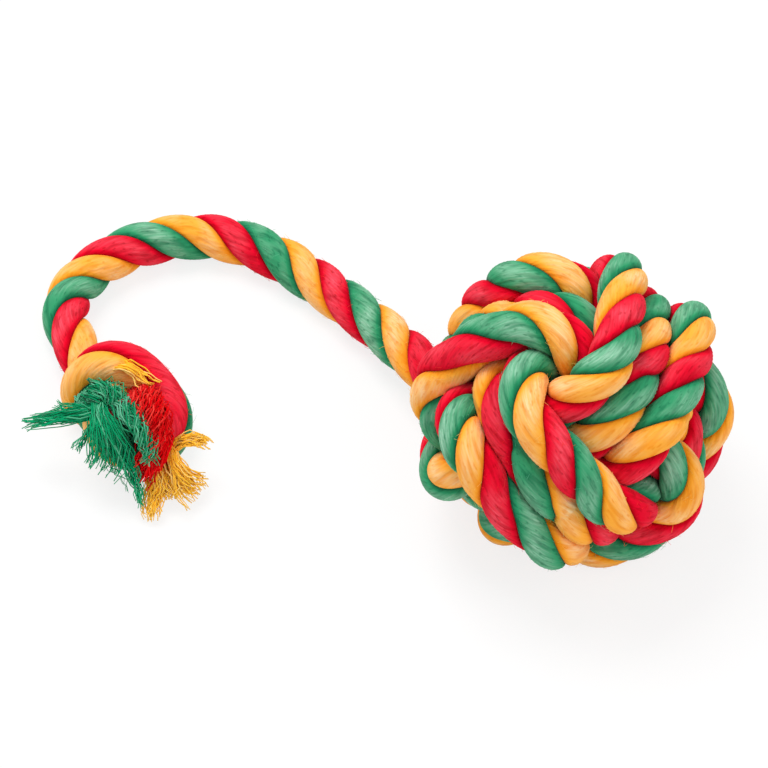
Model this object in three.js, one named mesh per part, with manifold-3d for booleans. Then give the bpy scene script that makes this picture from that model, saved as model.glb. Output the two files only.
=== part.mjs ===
// A rope dog toy: one length of three-strand rope whose end is wound round a core as a
// monkey's fist of three bands of three turns, with a short free tail that ends in an
// overhand knot and three frayed strands. Millimetres, +Z up, the toy lies on the plane z = 0.
import * as THREE from 'three';
import { mergeVertices } from 'three/addons/utils/BufferGeometryUtils.js';
import Module from 'manifold-3d';

const wasm = await Module();
wasm.setup();

// Driving sizes
const ROPE_D = 11;              // the rope where it lies free
const FIST_ROPE_D = 9.5;        // the same rope drawn tight in the ball
const FIST_TURN_GAP = 1.3;          // room that each turn of the ball keeps, which its bends use up
const KNOT_ROPE_D = 7.4;        // and drawn tighter still in the end knot
const KNOT_TURN_GAP = 0.8;
const CORE_D = 22;              // ball inside the winding
const CORE_GAP = 0.35;          // between the core and the turns that lie on it
const SEAT_GAP = 0.3;           // between two pieces that meet face to face
const BALL_HEIGHT = 34.0;       // centre of the ball above the floor
const BALL_TURN = [40, 18, 80]; // how the ball came to rest: degrees about X, then Y, then Z
const CUT_SIZE = 400;           // block that cuts the underside flat
const FLAT_SHARE = 0.1;         // depth of the flats that it rests on, in the rope's diameters

// Winding of the ball, loose, in diameters of the drawn rope with its room. A turn's points are
// given as shares along its band's outer and inner axes: it runs under one band and over another.
const LANE_SHARE = 1.22;        // from one turn to the next in a band
const TURN_SHARES = [
  [-1.1, -2.26], [0, -2.26], [1.1, -2.26], [3.11, -2.32],
  [3.48, -1.1], [3.48, 0], [3.48, 1.1], [3.11, 2.32],
  [1.1, 2.26], [0, 2.26], [-1.1, 2.26], [-3.11, 2.32],
  [-3.48, 1.1], [-3.48, 0], [-3.48, -1.1], [-3.11, -2.32],
];
const STEP_SHARES = [0.2, 0.5, 0.8];  // how a turn's first points step over to its own lane
const START_SHARES = [0.37, -2.26, 1.65]; // outer, inner and lane axis, where the rope starts
const ENTRY_SHARE = 2.32;       // lane from which a band's first turn comes
const CHANGE_SHARES = [[-3.48, -2.32, 1.53], [-3.11, -2.56, 2.44], [-2.32, -1.95, 2.38]];
const SLACK_SHARE = 0.75;       // of the loose winding's points that the drawn rope keeps
const LEAD_POINTS = 8;          // on the tail's start, which the last turns keep off
const STRAIGHT_POINTS = 4;      // that hold a rope's end straight, one diameter long

// How a rope is drawn tight
const POINT_STEP = 2.0;         // between its points
const WELD = 0.001;             // corners nearer than this are one corner
const NEAR_SHARE = 1.45;        // rope nearer than this along itself isn't pushed apart
const PAIR_SHARE = 1.5;         // points farther apart than this can't touch before the next look
const LOOK_ROUNDS = 10;         // rounds from one look for touching points to the next
const EASE_ROUNDS = 300;        // rounds after the drawing, which only part the turns
const EASE_SHARE = 0.02;        // smoothing in those rounds
const SHRINK_SHARE = 0.9995;    // of its length that a rope keeps in a round of drawing
const FIST_DRAW = { rounds: 700, pullShare: 0.006, smoothShare: 0.1, reach: 3 };
const KNOT_DRAW = { rounds: 500, pullShare: 0.01, smoothShare: 0.05, reach: 2 };

// Sections
const FIST_SIDES = 8;
const FIST_STEPS = 300;
const KNOT_SIDES = 8;
const KNOT_STEPS = 44;
const TAIL_SIDES = 12;
const TAIL_STEPS = 44;
const CORE_SEGMENTS = 24;

// Route of the free tail from the ball to the knot, chosen by hand
const TAIL_ROUTE = [
  [-30.5, 23.5, 12.6], [-35.0, 30.0, 11.4], [-41.0, 38.6, 9.3], [-48.4, 48.4, 7.0], [-56.5, 57.1, 5.8],
  [-63.2, 63.2, 5.6], [-70.9, 69.6, 5.6], [-80.5, 75.0, 5.6], [-90.1, 77.2, 5.6], [-100.0, 76.5, 5.6],
  [-109.9, 73.0, 5.6], [-118.4, 66.4, 5.6], [-123.4, 59.3, 5.6], [-124.9, 52.6, 5.6], [-123.3, 46.0, 5.7],
  [-120.8, 39.8, 5.9],
];

// Overhand knot at the tail's end
const KNOT_CENTRE = [-107.5, 20.0, 9.8];
const KNOT_TURN = [-20, 0, 120]; // degrees about X, then Y, then Z
const KNOT_LOOSE_SHARE = 0.48;  // loose size of the knot, in diameters of the drawn rope
const KNOT_WAVE_SHARE = 1.1;    // how far its runs pass over and under each other
const KNOT_MOUTH = 51.6;        // degrees of the trefoil that are left out for the two ends
const KNOT_POINTS = 25;
const KNOT_EXIT = [-109.0, 10.0, 17.0];
const KNOT_EXIT_WAY = [-0.2, -0.75, 0.5];

// Frayed strand ends: a slice of each strand with its yarns standing from it
const STRAND_D = 5.2;
const SLICE_LENGTH = 4.0;
const STRAND_OFFSET = 3.2;      // from the rope's centre line to a strand's
const YARN_RINGS = 6;           // rows of yarns from a slice's middle to its edge
const YARN_EVEN_SHARE = 0.55;   // of a yarn's outer half that every yarn has
const YARN_EDGE_SHARE = 0.18;   // by which the yarns at its sides are shorter
const YARN_SAG_SHARE = 0.18;    // how far they run straight out before they fall
const GOLDEN_SHARE = 0.618;     // spreads the yarns' lengths evenly with no two neighbours alike
const GREEN_LENGTH = 17;
const GREEN_LOW = 6;            // lowest tips above the floor
const GREEN_RISE = 12;          // from the lowest tips to the highest
const GREEN_SWELL = 0.24;       // half a yarn's thickness where it is fullest
const RED_LENGTH = 13;
const RED_LOW = 4;
const RED_RISE = 9;
const RED_SWELL = 0.1;
const YELLOW_LENGTH = 12;
const YELLOW_LOW = 0.6;
const YELLOW_RISE = 9;
const YELLOW_SWELL = 0.24;
// Two strands fray at the rope's end, at their angles about it. The third leaves the knot before
// that, at a share of the knot's length, square to the rope and towards its own way.
const TASSELS = [
  {
    name: 'tassel_green', color: 0x109060, angle: 170, heading: 215, fan: 45,
    length: GREEN_LENGTH, low: GREEN_LOW, rise: GREEN_RISE, swell: GREEN_SWELL,
  },
  {
    name: 'tassel_red', color: 0xd80828, angle: 350, heading: 280, fan: 32,
    length: RED_LENGTH, low: RED_LOW, rise: RED_RISE, swell: RED_SWELL,
  },
  {
    name: 'tassel_yellow', color: 0xf8a020, share: 0.39, way: [0.5, -0.8, 0.3], heading: 292, fan: 50,
    length: YELLOW_LENGTH, low: YELLOW_LOW, rise: YELLOW_RISE, swell: YELLOW_SWELL,
  },
];

const degrees = (value) => value * Math.PI / 180;

function turned(turn) {
  // Rotation about the fixed X axis first, then Y, then Z.
  return new THREE.Matrix4().makeRotationFromEuler(new THREE.Euler(...turn.map(degrees), 'ZYX'));
}

function smoothRoute(points, perSpan = 24) {
  const curve = new THREE.CatmullRomCurve3(points, false, 'centripetal');
  return curve.getPoints((points.length - 1) * perSpan);
}

function lengths(points) {
  const sums = [0];
  for (let i = 1; i < points.length; i += 1) {
    sums.push(sums[i - 1] + points[i].distanceTo(points[i - 1]));
  }
  return sums;
}

function sampleAt(points, sums, targets) {
  // Points at the given running sums along a polyline.
  const out = [];
  let i = 1;
  for (const target of targets) {
    while (i < points.length - 1 && sums[i] < target) {
      i += 1;
    }
    const share = (target - sums[i - 1]) / (sums[i] - sums[i - 1]);
    out.push(points[i - 1].clone().lerp(points[i], share));
  }
  return out;
}

function evenPoints(points, count) {
  const sums = lengths(points);
  const total = sums[sums.length - 1];
  return sampleAt(points, sums, Array.from({ length: count }, (_, i) => total * i / (count - 1)));
}

function drawTight(loose, { spacing, core = 0, floor = -Infinity, pins = [0, 0], centre, draw }) {
  // Draws a loose rope tight: its points are pulled to the middle and evened out, and kept one
  // rope apart from each other, off the core and off the floor. The pinned ends stay put.
  const count = loose.length;
  const p = new Float64Array(count * 3);
  loose.forEach((v, i) => p.set([v.x, v.y, v.z], i * 3));
  const pinned = p.slice();
  const { rounds, pullShare, smoothShare, reach } = draw;
  let rest = POINT_STEP;
  let pairs = [];
  for (let round = 0; round < rounds + EASE_ROUNDS; round += 1) {
    const easing = round >= rounds;
    if (round % LOOK_ROUNDS === 0) {
      pairs = nearPairs(p, count, Math.floor(spacing * NEAR_SHARE / rest) + 1, spacing * PAIR_SHARE);
    }
    if (!easing) {
      for (let i = 0; i < p.length; i += 1) {
        p[i] += (centre[i % 3] - p[i]) * pullShare;
      }
    }
    const before = p.slice();
    const share = easing ? EASE_SHARE : smoothShare;
    for (let i = reach * 3; i < p.length - reach * 3; i += 1) {
      p[i] += share * ((before[i - reach * 3] + before[i + reach * 3]) / 2 - before[i]);
    }
    rest = evenOut(p, count, easing ? 1 : SHRINK_SHARE);
    pushApart(p, count, pairs, spacing);
    pushApart(p, count, pairs, spacing);
    for (let i = 0; i < count; i += 1) {
      const r = Math.hypot(p[i * 3] - centre[0], p[i * 3 + 1] - centre[1], p[i * 3 + 2] - centre[2]);
      if (r < core) {
        for (let k = 0; k < 3; k += 1) {
          p[i * 3 + k] = centre[k] + (p[i * 3 + k] - centre[k]) * core / r;
        }
      }
      p[i * 3 + 2] = Math.max(p[i * 3 + 2], floor);
    }
    for (let i = 0; i < pins[0] * 3; i += 1) {
      p[i] = pinned[i];
    }
    for (let i = (count - pins[1]) * 3; i < p.length; i += 1) {
      p[i] = pinned[i];
    }
  }
  return Array.from({ length: count }, (_, i) => new THREE.Vector3().fromArray(p, i * 3));
}

function nearPairs(p, count, skip, limit) {
  const pairs = [];
  const limitSquared = limit * limit;
  for (let i = 0; i < count; i += 1) {
    for (let j = i + skip; j < count; j += 1) {
      const x = p[i * 3] - p[j * 3];
      const y = p[i * 3 + 1] - p[j * 3 + 1];
      const z = p[i * 3 + 2] - p[j * 3 + 2];
      if (x * x + y * y + z * z < limitSquared) {
        pairs.push([i, j]);
      }
    }
  }
  return pairs;
}

function evenOut(p, count, shrink) {
  // Brings all steps along the rope to their mean length, even steps first and then odd ones.
  const step = (i) => Math.hypot(...[0, 1, 2].map((k) => p[i * 3 + 3 + k] - p[i * 3 + k]));
  let sum = 0;
  for (let i = 0; i < count - 1; i += 1) {
    sum += step(i);
  }
  const rest = shrink * sum / (count - 1);
  for (const first of [1, 0]) {
    for (let i = first; i < count - 1; i += 2) {
      const length = step(i);
      const share = 0.5 * (length - rest) / length;
      for (let k = 0; k < 3; k += 1) {
        const change = (p[i * 3 + 3 + k] - p[i * 3 + k]) * share;
        p[i * 3 + k] += change;
        p[i * 3 + 3 + k] -= change;
      }
    }
  }
  return rest;
}

function pushApart(p, count, pairs, spacing) {
  const shift = new Float64Array(p.length);
  const touches = new Float64Array(count);
  for (const [i, j] of pairs) {
    const way = [0, 1, 2].map((k) => p[i * 3 + k] - p[j * 3 + k]);
    const gap = Math.hypot(...way);
    if (gap < spacing) {
      const push = 0.5 * (spacing - gap) / gap;
      for (let k = 0; k < 3; k += 1) {
        shift[i * 3 + k] += way[k] * push;
        shift[j * 3 + k] -= way[k] * push;
      }
      touches[i] += 1;
      touches[j] += 1;
    }
  }
  for (let i = 0; i < count; i += 1) {
    const share = 1 / Math.max(1, touches[i] * 0.5);
    for (let k = 0; k < 3; k += 1) {
      p[i * 3 + k] += shift[i * 3 + k] * share;
    }
  }
}

function segmentGap(a, b, c, d) {
  // Least distance between the segments a-b and c-d.
  const u = b.clone().sub(a);
  const v = d.clone().sub(c);
  const w = a.clone().sub(c);
  const uu = u.dot(u);
  const uv = u.dot(v);
  const vv = v.dot(v);
  const uw = u.dot(w);
  const vw = v.dot(w);
  const clamp = (x) => Math.min(1, Math.max(0, x));
  let s = clamp((uv * vw - vv * uw) / Math.max(uu * vv - uv * uv, Number.EPSILON));
  const t = clamp((uv * s + vw) / vv);
  s = clamp((uv * t - uw) / uu);
  return w.addScaledVector(u, s).addScaledVector(v, -t).length();
}

function leastSelfGap(points, diameter) {
  // Least gap of a swept tube to itself, between stretches that the rope's own bend doesn't join.
  const sums = lengths(points);
  let least = Infinity;
  for (let i = 0; i < points.length - 1; i += 1) {
    for (let j = i + 1; j < points.length - 1; j += 1) {
      if (sums[j] - sums[i + 1] > diameter * NEAR_SHARE) {
        least = Math.min(least, segmentGap(points[i], points[i + 1], points[j], points[j + 1]));
      }
    }
  }
  return least - diameter;
}

function sweep(points, diameter, sides) {
  // Closed tube of a regular section along points, with flat ends square to the rope.
  const rings = [];
  let normal = null;
  points.forEach((point, i) => {
    const ahead = points[Math.min(i + 1, points.length - 1)].clone().sub(point).normalize();
    const behind = point.clone().sub(points[Math.max(i - 1, 0)]).normalize();
    const tangent = ahead.clone().add(behind).normalize();
    const seed = normal ?? new THREE.Vector3(tangent.y, tangent.z, tangent.x);
    normal = seed.clone().addScaledVector(tangent, -seed.dot(tangent)).normalize();
    const side = tangent.clone().cross(normal);
    rings.push(Array.from({ length: sides }, (_, k) => {
      const angle = 2 * Math.PI * k / sides;
      const offset = normal.clone().multiplyScalar(Math.cos(angle)).addScaledVector(side, Math.sin(angle));
      return point.clone().addScaledVector(offset, diameter / 2);
    }));
  });
  const vertices = rings.flat();
  const last = vertices.length - sides;
  const faces = [];
  for (let i = 0; i < points.length - 1; i += 1) {
    for (let k = 0; k < sides; k += 1) {
      const a = i * sides + k;
      const b = i * sides + (k + 1) % sides;
      faces.push(a, b, b + sides, a, b + sides, a + sides);
    }
  }
  for (let k = 1; k < sides - 1; k += 1) {
    faces.push(0, k + 1, k, last, last + k, last + k + 1);
  }
  return indexed(vertices, faces);
}

function indexed(vertices, faces) {
  const geometry = new THREE.BufferGeometry();
  geometry.setAttribute('position', new THREE.Float32BufferAttribute(vertices.flatMap((v) => v.toArray()), 3));
  geometry.setIndex(faces);
  return geometry;
}

function solidOf(geometry) {
  const bare = geometry.clone();
  bare.deleteAttribute('normal');
  bare.deleteAttribute('uv');
  const merged = mergeVertices(bare, WELD);
  return new wasm.Manifold(new wasm.Mesh({
    numProp: 3,
    vertProperties: new Float32Array(merged.attributes.position.array),
    triVerts: new Uint32Array(merged.index.array),
  }));
}

function geometryOf(solid) {
  const mesh = solid.getMesh();
  const geometry = new THREE.BufferGeometry();
  geometry.setAttribute('position', new THREE.BufferAttribute(mesh.vertProperties, 3));
  geometry.setIndex(new THREE.BufferAttribute(mesh.triVerts, 1));
  geometry.computeVertexNormals();
  return geometry;
}

function cutByFloor(geometry) {
  const block = wasm.Manifold.cube([CUT_SIZE, CUT_SIZE, CUT_SIZE], true).translate([0, 0, CUT_SIZE / 2]);
  return geometryOf(solidOf(geometry).intersect(block));
}

function straightRun(from, way, length) {
  return Array.from({ length: STRAIGHT_POINTS }, (_, i) => (
    from.clone().addScaledVector(way, length * i / (STRAIGHT_POINTS - 1))));
}

function pointsAlong(length) {
  return Math.ceil(length / POINT_STEP) + 1;
}

function bandTurn(from, to, count = TURN_SHARES.length) {
  // Way points of one turn as [outer axis, inner axis, lane axis].
  return TURN_SHARES.slice(0, count).map(([outer, inner], i) => (
    [outer, inner, from + (to - from) * (STEP_SHARES[i] ?? 1)]));
}

function bandChange(side) {
  // From the last outer run of a band, round the rope that it crosses, to the next band's first.
  return CHANGE_SHARES.map(([outer, inner, across]) => [outer, inner, across * side]);
}

function fistWays() {
  // The three bands of a monkey's fist, each of three turns and each under the band before it.
  const lane = LANE_SHARE;
  const lastTurn = TURN_SHARES.length - 1;
  const first = [START_SHARES, ...bandTurn(0, lane).slice(3),
    ...bandTurn(lane, 0), ...bandTurn(0, -lane, lastTurn), ...bandChange(-1)];
  const second = [...bandTurn(-ENTRY_SHARE, -lane), ...bandTurn(-lane, 0),
    ...bandTurn(0, lane, lastTurn), ...bandChange(1)];
  const third = [...bandTurn(-ENTRY_SHARE, -lane), ...bandTurn(-lane, 0), ...bandTurn(0, lane, lastTurn)];
  return [
    ...first,
    ...second.map(([outer, inner, across]) => [across, outer, inner]),
    ...third.map(([outer, inner, across]) => [-inner, across, outer]),
  ];
}

function fistPath(exit, exitWay, tail) {
  // Centre line of the winding, from its buried end to the tail's exit.
  const spacing = FIST_ROPE_D + FIST_TURN_GAP;
  const turn = turned(BALL_TURN);
  const centre = new THREE.Vector3(0, 0, BALL_HEIGHT);
  const ways = fistWays().map((way) => (
    new THREE.Vector3(...way).multiplyScalar(spacing).applyMatrix4(turn).add(centre)));
  ways.push(...straightRun(exit, exitWay, -FIST_ROPE_D).reverse());
  const route = smoothRoute(ways);
  const sums = lengths(route);
  const loose = evenPoints(route, Math.round(SLACK_SHARE * sums[sums.length - 1] / POINT_STEP));
  const steps = Array.from({ length: LEAD_POINTS }, (_, i) => POINT_STEP * (i + 1));
  const lead = sampleAt(tail, lengths(tail), steps);
  const drawn = drawTight([...loose, ...lead], {
    spacing,
    core: (CORE_D + FIST_ROPE_D) / 2 + CORE_GAP,
    floor: FIST_ROPE_D * (1 / 2 - FLAT_SHARE),
    centre: centre.toArray(),
    pins: [0, pointsAlong(FIST_ROPE_D) + LEAD_POINTS],
    draw: FIST_DRAW,
  });
  return drawn.slice(0, -LEAD_POINTS);
}

function knotPath(start, startWay, end, endWay) {
  // Overhand knot: the middle of a trefoil whose lowest lobe is cut and led to the two ends.
  const spacing = KNOT_ROPE_D + KNOT_TURN_GAP;
  const turn = turned(KNOT_TURN);
  const centre = new THREE.Vector3(...KNOT_CENTRE);
  const size = spacing * KNOT_LOOSE_SHARE;
  const inside = Array.from({ length: KNOT_POINTS }, (_, i) => {
    const angle = degrees(180 + KNOT_MOUTH / 2 + (360 - KNOT_MOUTH) * i / (KNOT_POINTS - 1));
    return new THREE.Vector3(
      Math.sin(angle) + 2 * Math.sin(2 * angle),
      Math.cos(angle) - 2 * Math.cos(2 * angle),
      KNOT_WAVE_SHARE * Math.sin(3 * angle),
    ).multiplyScalar(size).applyMatrix4(turn).add(centre);
  });
  const ways = [
    ...straightRun(start, startWay, KNOT_ROPE_D),
    ...inside,
    ...straightRun(end, endWay, -KNOT_ROPE_D).reverse(),
  ];
  const route = smoothRoute(ways, 8);
  const sums = lengths(route);
  const loose = evenPoints(route, Math.round(sums[sums.length - 1] / POINT_STEP));
  return drawTight(loose, {
    spacing,
    centre: KNOT_CENTRE,
    floor: KNOT_ROPE_D * (1 / 2 - FLAT_SHARE),
    pins: [pointsAlong(KNOT_ROPE_D), pointsAlong(KNOT_ROPE_D)],
    draw: KNOT_DRAW,
  });
}

function tailGeometry(points) {
  const section = new THREE.Shape(Array.from({ length: TAIL_SIDES }, (_, i) => {
    const angle = 2 * Math.PI * i / TAIL_SIDES;
    return new THREE.Vector2(Math.cos(angle), Math.sin(angle)).multiplyScalar(ROPE_D / 2);
  }));
  const extrudePath = new THREE.CatmullRomCurve3(points, false, 'centripetal');
  return new THREE.ExtrudeGeometry(section, { steps: TAIL_STEPS, extrudePath, bevelEnabled: false });
}

function endRoot({ angle }) {
  // Where a strand comes out of the rope's end face.
  const side = up.clone().cross(knotEndWay).normalize();
  const lift = knotEndWay.clone().cross(side).normalize();
  const base = knotEnd.clone()
    .addScaledVector(knotEndWay, SEAT_GAP)
    .addScaledVector(side, Math.cos(degrees(angle)) * STRAND_OFFSET)
    .addScaledVector(lift, Math.sin(degrees(angle)) * STRAND_OFFSET);
  return { base, axis: knotEndWay };
}

function sideRoot({ share, way }) {
  // Where a strand comes out between two turns of the knot.
  const index = Math.round(share * (knotSteps.length - 1));
  const tangent = knotSteps[index + 1].clone().sub(knotSteps[index - 1]).normalize();
  const axis = new THREE.Vector3(...way);
  axis.addScaledVector(tangent, -axis.dot(tangent)).normalize();
  const base = knotSteps[index].clone().addScaledVector(axis, KNOT_ROPE_D / 2 + SEAT_GAP);
  return { base, axis };
}

function frayed(base, axis, tassel, seed) {
  // A slice of strand whose end face carries one yarn on every second triangle of a lattice.
  const side = up.clone().cross(axis).normalize();
  const lift = axis.clone().cross(side).normalize();
  const rings = YARN_RINGS;
  const unit = [];
  const keys = new Map();
  for (let a = -rings; a <= rings; a += 1) {
    for (let b = Math.max(-rings, -a - rings); b <= Math.min(rings, rings - a); b += 1) {
      const x = a + b / 2;
      const y = b * Math.sqrt(3) / 2;
      const ring = Math.max(Math.abs(a), Math.abs(b), Math.abs(a + b));
      const round = ring === 0 ? 0 : ring / rings / Math.hypot(x, y);
      keys.set(`${a},${b}`, unit.length);
      unit.push([x * round, y * round]);
    }
  }
  const place = ([x, y], along) => base.clone()
    .addScaledVector(side, x * STRAND_D / 2)
    .addScaledVector(lift, y * STRAND_D / 2)
    .addScaledVector(axis, along);
  const vertices = unit.map((spot) => place(spot, SLICE_LENGTH));
  const faces = [];
  const addYarn = (corners, index) => {
    const x = corners.reduce((sum, k) => sum + unit[k][0], 0) / 3;
    const y = corners.reduce((sum, k) => sum + unit[k][1], 0) / 3;
    const chance = (index + seed) * GOLDEN_SHARE % 1;
    const end = YARN_EVEN_SHARE + (1 - YARN_EVEN_SHARE) * chance;
    const heading = degrees(tassel.heading + tassel.fan * x);
    const out = new THREE.Vector3(Math.cos(heading), Math.sin(heading), 0);
    const reach = tassel.length * (1 - YARN_EDGE_SHARE * x * x);
    const tip = base.clone().addScaledVector(axis, SLICE_LENGTH).addScaledVector(out, reach);
    tip.z = tassel.low + tassel.rise * (y + 1) / 2;
    const root = place([x, y], SLICE_LENGTH);
    const middle = root.clone().lerp(tip, 0.5).addScaledVector(axis, tassel.length * YARN_SAG_SHARE);
    const turn = new THREE.Quaternion().setFromUnitVectors(axis, tip.clone().sub(root).normalize());
    const start = vertices.length;
    for (const k of corners) {
      const spoke = vertices[k].clone().sub(root).normalize().applyQuaternion(turn);
      vertices.push(middle.clone().addScaledVector(spoke, tassel.swell));
    }
    vertices.push(middle.lerp(tip, end));
    for (let k = 0; k < 3; k += 1) {
      const next = (k + 1) % 3;
      faces.push(corners[k], corners[next], start + next, corners[k], start + next, start + k);
      faces.push(start + k, start + next, start + 3);
    }
  };
  let index = 0;
  for (let a = -rings; a < rings; a += 1) {
    for (let b = -rings; b < rings; b += 1) {
      const upward = [`${a},${b}`, `${a + 1},${b}`, `${a},${b + 1}`].map((key) => keys.get(key));
      const downward = [`${a + 1},${b}`, `${a + 1},${b + 1}`, `${a},${b + 1}`].map((key) => keys.get(key));
      if (!upward.includes(undefined)) {
        addYarn(upward, index);
        index += 1;
      }
      if (!downward.includes(undefined)) {
        faces.push(...downward);
      }
    }
  }
  const rim = [];
  const corners = [[1, 0], [0, 1], [-1, 1], [-1, 0], [0, -1], [1, -1]];
  corners.forEach(([a, b], k) => {
    const [c, d] = corners[(k + 1) % corners.length];
    for (let i = 0; i < rings; i += 1) {
      rim.push(keys.get(`${a * (rings - i) + c * i},${b * (rings - i) + d * i}`));
    }
  });
  const foot = vertices.length;
  rim.forEach((k) => vertices.push(place(unit[k], 0)));
  vertices.push(base.clone());
  rim.forEach((k, i) => {
    const next = (i + 1) % rim.length;
    faces.push(k, foot + i, foot + next, k, foot + next, rim[next]);
    faces.push(foot + i, foot + rim.length, foot + next);
  });
  const geometry = indexed(vertices, faces);
  geometry.computeVertexNormals();
  return geometry;
}

function mesh(name, geometry, color, roughness) {
  const part = new THREE.Mesh(geometry, new THREE.MeshStandardMaterial({ color, roughness, metalness: 0 }));
  part.name = name;
  return part;
}

const toy = new THREE.Group();
toy.name = 'rope_dog_toy';

const route = TAIL_ROUTE.map((point) => new THREE.Vector3(...point));
const tailCurve = new THREE.CatmullRomCurve3(route, false, 'centripetal');
const exitWay = tailCurve.getTangent(0);
const knotWay = tailCurve.getTangent(1);
const exit = route[0].clone().addScaledVector(exitWay, -SEAT_GAP);
const knotStart = route[route.length - 1].clone().addScaledVector(knotWay, SEAT_GAP);
const knotEnd = new THREE.Vector3(...KNOT_EXIT);
const knotEndWay = new THREE.Vector3(...KNOT_EXIT_WAY).normalize();

const fist = fistPath(exit, exitWay, smoothRoute(route));
const fistSteps = evenPoints(fist, FIST_STEPS);
const knot = knotPath(knotStart, knotWay, knotEnd, knotEndWay);
const knotSteps = evenPoints(knot, KNOT_STEPS);

const core = new THREE.SphereGeometry(CORE_D / 2, CORE_SEGMENTS, CORE_SEGMENTS / 2);
core.translate(0, 0, BALL_HEIGHT);

toy.add(
  mesh('core_ball', core, 0xc8b48c, 0.8),
  mesh('fist_winding', cutByFloor(sweep(fistSteps, FIST_ROPE_D, FIST_SIDES)), 0xd80828, 0.9),
  mesh('tail_rope', tailGeometry(route), 0xf8a020, 0.9),
  mesh('stopper_knot', cutByFloor(sweep(knotSteps, KNOT_ROPE_D, KNOT_SIDES)), 0x109060, 0.9),
);

const up = new THREE.Vector3(0, 0, 1);
TASSELS.forEach((tassel, i) => {
  const { base, axis } = tassel.way ? sideRoot(tassel) : endRoot(tassel);
  toy.add(mesh(tassel.name, frayed(base, axis, tassel, i), tassel.color, 0.95));
});

// The middle of the toy's footprint is the origin.
const footprint = new THREE.Box3().setFromObject(toy, true).getCenter(new THREE.Vector3());
toy.children.forEach((part) => part.position.set(-footprint.x, -footprint.y, 0));

function measured(name, points, steps, diameter) {
  const length = lengths(points).pop().toFixed(0);
  const gap = leastSelfGap(steps, diameter).toFixed(2);
  console.log(`${name}: length ${length} mm, least gap to itself ${gap} mm`);
}

measured('fist_winding', fist, fistSteps, FIST_ROPE_D);
measured('stopper_knot', knot, knotSteps, KNOT_ROPE_D);
console.log(`tail_rope: length ${tailCurve.getLength().toFixed(0)} mm`);
console.log(`origin moved by ${footprint.x.toFixed(2)}, ${footprint.y.toFixed(2)} mm`);

export default toy;
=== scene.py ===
"""A rope dog toy: a monkey's fist of three-strand cotton rope, its free tail, an overhand knot
and three frayed strand ends. Sizes in the code are millimetres, and become metres in the mesh."""
import functools
import math
import bmesh
import bpy
import numpy as np
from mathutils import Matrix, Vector, noise


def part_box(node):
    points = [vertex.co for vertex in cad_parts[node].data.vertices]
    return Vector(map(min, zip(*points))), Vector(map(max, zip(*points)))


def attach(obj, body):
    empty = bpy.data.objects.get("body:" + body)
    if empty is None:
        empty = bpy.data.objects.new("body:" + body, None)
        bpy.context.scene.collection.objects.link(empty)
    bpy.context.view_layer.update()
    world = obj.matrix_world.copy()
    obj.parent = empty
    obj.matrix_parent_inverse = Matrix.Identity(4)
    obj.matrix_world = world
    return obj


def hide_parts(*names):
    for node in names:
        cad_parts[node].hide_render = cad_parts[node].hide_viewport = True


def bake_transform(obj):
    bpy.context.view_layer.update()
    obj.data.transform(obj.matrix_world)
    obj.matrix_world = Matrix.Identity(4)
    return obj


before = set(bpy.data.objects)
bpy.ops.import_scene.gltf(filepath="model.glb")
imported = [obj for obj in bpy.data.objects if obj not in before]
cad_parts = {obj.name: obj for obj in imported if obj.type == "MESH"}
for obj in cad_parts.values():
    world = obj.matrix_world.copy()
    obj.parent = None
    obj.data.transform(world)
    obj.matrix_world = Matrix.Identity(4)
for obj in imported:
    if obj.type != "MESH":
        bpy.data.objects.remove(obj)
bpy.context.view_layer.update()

bl_info = {
    "name": "Rope dog toy",
    "version": (1, 0, 0),
    "blender": (4, 5, 0),
    "location": "View3D > Sidebar > Rope toy",
    "description": "Builds a ball of three-strand cotton rope with a knotted, frayed tail",
    "category": "Add Mesh",
}

MM = 0.001

# The rope as it is laid: the same sizes, way points and routes as the solids have.
FIST_SPACING = 10.8
KNOT_SPACING = 8.2
FIST_ROPE_D = 9.5
KNOT_ROPE_D = 7.4
CORE_D = 22.0
CORE_GAP = 0.35
SEAT_GAP = 0.3
BALL_CENTRE = (0.0, 0.0, 34.0)
BALL_TURN = (40.0, 18.0, 80.0)
FLAT_SHARE = 0.1
# The loose ball, in rope thicknesses: the distance of its lanes, the points of one turn, the
# shares of the step to the next lane at its first three, the start, the lane where the second and
# the third band set out, and the points between two bands.
LANE = 1.22
TURN = (
    (-1.1, -2.26), (0, -2.26), (1.1, -2.26), (3.11, -2.32),
    (3.48, -1.1), (3.48, 0), (3.48, 1.1), (3.11, 2.32),
    (1.1, 2.26), (0, 2.26), (-1.1, 2.26), (-3.11, 2.32),
    (-3.48, 1.1), (-3.48, 0), (-3.48, -1.1), (-3.11, -2.32),
)
STEPS_OVER = (0.2, 0.5, 0.8)
START = (0.37, -2.26, 1.65)
ENTRY = 2.32
CHANGE = ((-3.48, -2.32, 1.53), (-3.11, -2.56, 2.44), (-2.32, -1.95, 2.38))
# The share of its length that the loose ball keeps, and the rope's points, 2 mm apart.
SLACK = 0.75
LEAD_POINTS = 8
STRAIGHT_POINTS = 4
POINT_STEP = 2.0
END_POINTS = 667
TAIL_ROUTE = (
    (-30.5, 23.5, 12.6), (-35.0, 30.0, 11.4), (-41.0, 38.6, 9.3), (-48.4, 48.4, 7.0),
    (-56.5, 57.1, 5.8), (-63.2, 63.2, 5.6), (-70.9, 69.6, 5.6), (-80.5, 75.0, 5.6),
    (-90.1, 77.2, 5.6), (-100.0, 76.5, 5.6), (-109.9, 73.0, 5.6), (-118.4, 66.4, 5.6),
    (-123.4, 59.3, 5.6), (-124.9, 52.6, 5.6), (-123.3, 46.0, 5.7), (-120.8, 39.8, 5.9),
)
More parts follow.
